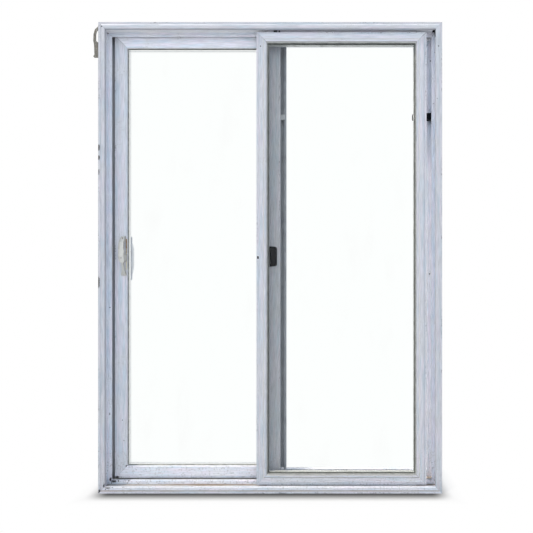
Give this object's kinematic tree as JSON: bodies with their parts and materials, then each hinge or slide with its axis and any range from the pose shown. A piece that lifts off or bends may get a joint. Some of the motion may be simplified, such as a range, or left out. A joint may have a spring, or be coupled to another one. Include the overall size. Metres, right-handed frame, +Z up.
{
  "type": "sliding patio door",
  "caption": "Sliding patio door unit: welded frame, fixed glazed panel and a glazed panel that slides on rollers behind it.",
  "frame": {"origin": "middle of the sill's underside, on the floor", "axes": "+X to the right as seen from outside, +Y from outside to the room, +Z up"},
  "size_m": [1.512, 0.152, 2.03],
  "materials": {
    "frame_vinyl": "weathered white vinyl",
    "fixed_vinyl": "weathered white vinyl",
    "sliding_vinyl": "weathered white vinyl",
    "clear_glass": "clear",
    "spacer_metal": "dull",
    "gasket_rubber": "matt grey",
    "seal_pile": "woven pile",
    "track_metal": "worn mill finish",
    "fin_metal": "grey coat",
    "zinc_sheet": "dull zinc",
    "lock_steel": "dull",
    "wheel_nylon": "matt",
    "cream_plastic": "aged",
    "white_plastic": "satin",
    "black_plastic": "satin",
    "pad_plastic": "matt"
  },
  "bodies": {
    "frame": {"head": "frame_vinyl", "sill": "frame_vinyl", "jamb_left": "frame_vinyl", "jamb_right": "frame_vinyl", "sill_rail": "track_metal", "head_guide": "track_metal", "sill_seal": "seal_pile", "head_seal": "seal_pile", "fixed_top_rail": "fixed_vinyl", "fixed_bottom_rail": "fixed_vinyl", "fixed_meeting_stile": "fixed_vinyl", "fixed_jamb_stile": "fixed_vinyl", "fixed_outer_pane": "clear_glass", "fixed_inner_pane": "clear_glass", "fixed_spacer": "spacer_metal", "fixed_gasket": "gasket_rubber", "fixed_bead": "fixed_vinyl", "meeting_seal": "seal_pile", "anchor_strap": "zinc_sheet", "panel_stop": "black_plastic", "strike_keeper": "lock_steel"},
    "sliding_panel": {"sliding_top_rail": "sliding_vinyl", "sliding_bottom_rail": "sliding_vinyl", "sliding_lock_stile": "sliding_vinyl", "sliding_meeting_stile": "sliding_vinyl", "sliding_outer_pane": "clear_glass", "sliding_inner_pane": "clear_glass", "sliding_spacer": "spacer_metal", "sliding_gasket": "gasket_rubber", "sliding_bead": "sliding_vinyl", "roller_housing_left": "zinc_sheet", "roller_housing_right": "zinc_sheet", "roller_wheel_left": "wheel_nylon", "roller_wheel_right": "wheel_nylon", "interlock_fin": "fin_metal", "fin_pad": "pad_plastic", "exterior_pull": "cream_plastic", "interior_plate": "white_plastic", "interior_pull": "white_plastic", "thumb_latch": "white_plastic", "mortise_lock": "lock_steel", "night_latch": "black_plastic"}
  },
  "joints": [
    {"name": "panel_slide", "type": "slide", "parent": "frame", "child": "sliding_panel", "axis": [1, 0, 0], "range_m": [-0.018, 0.573]}
  ]
}
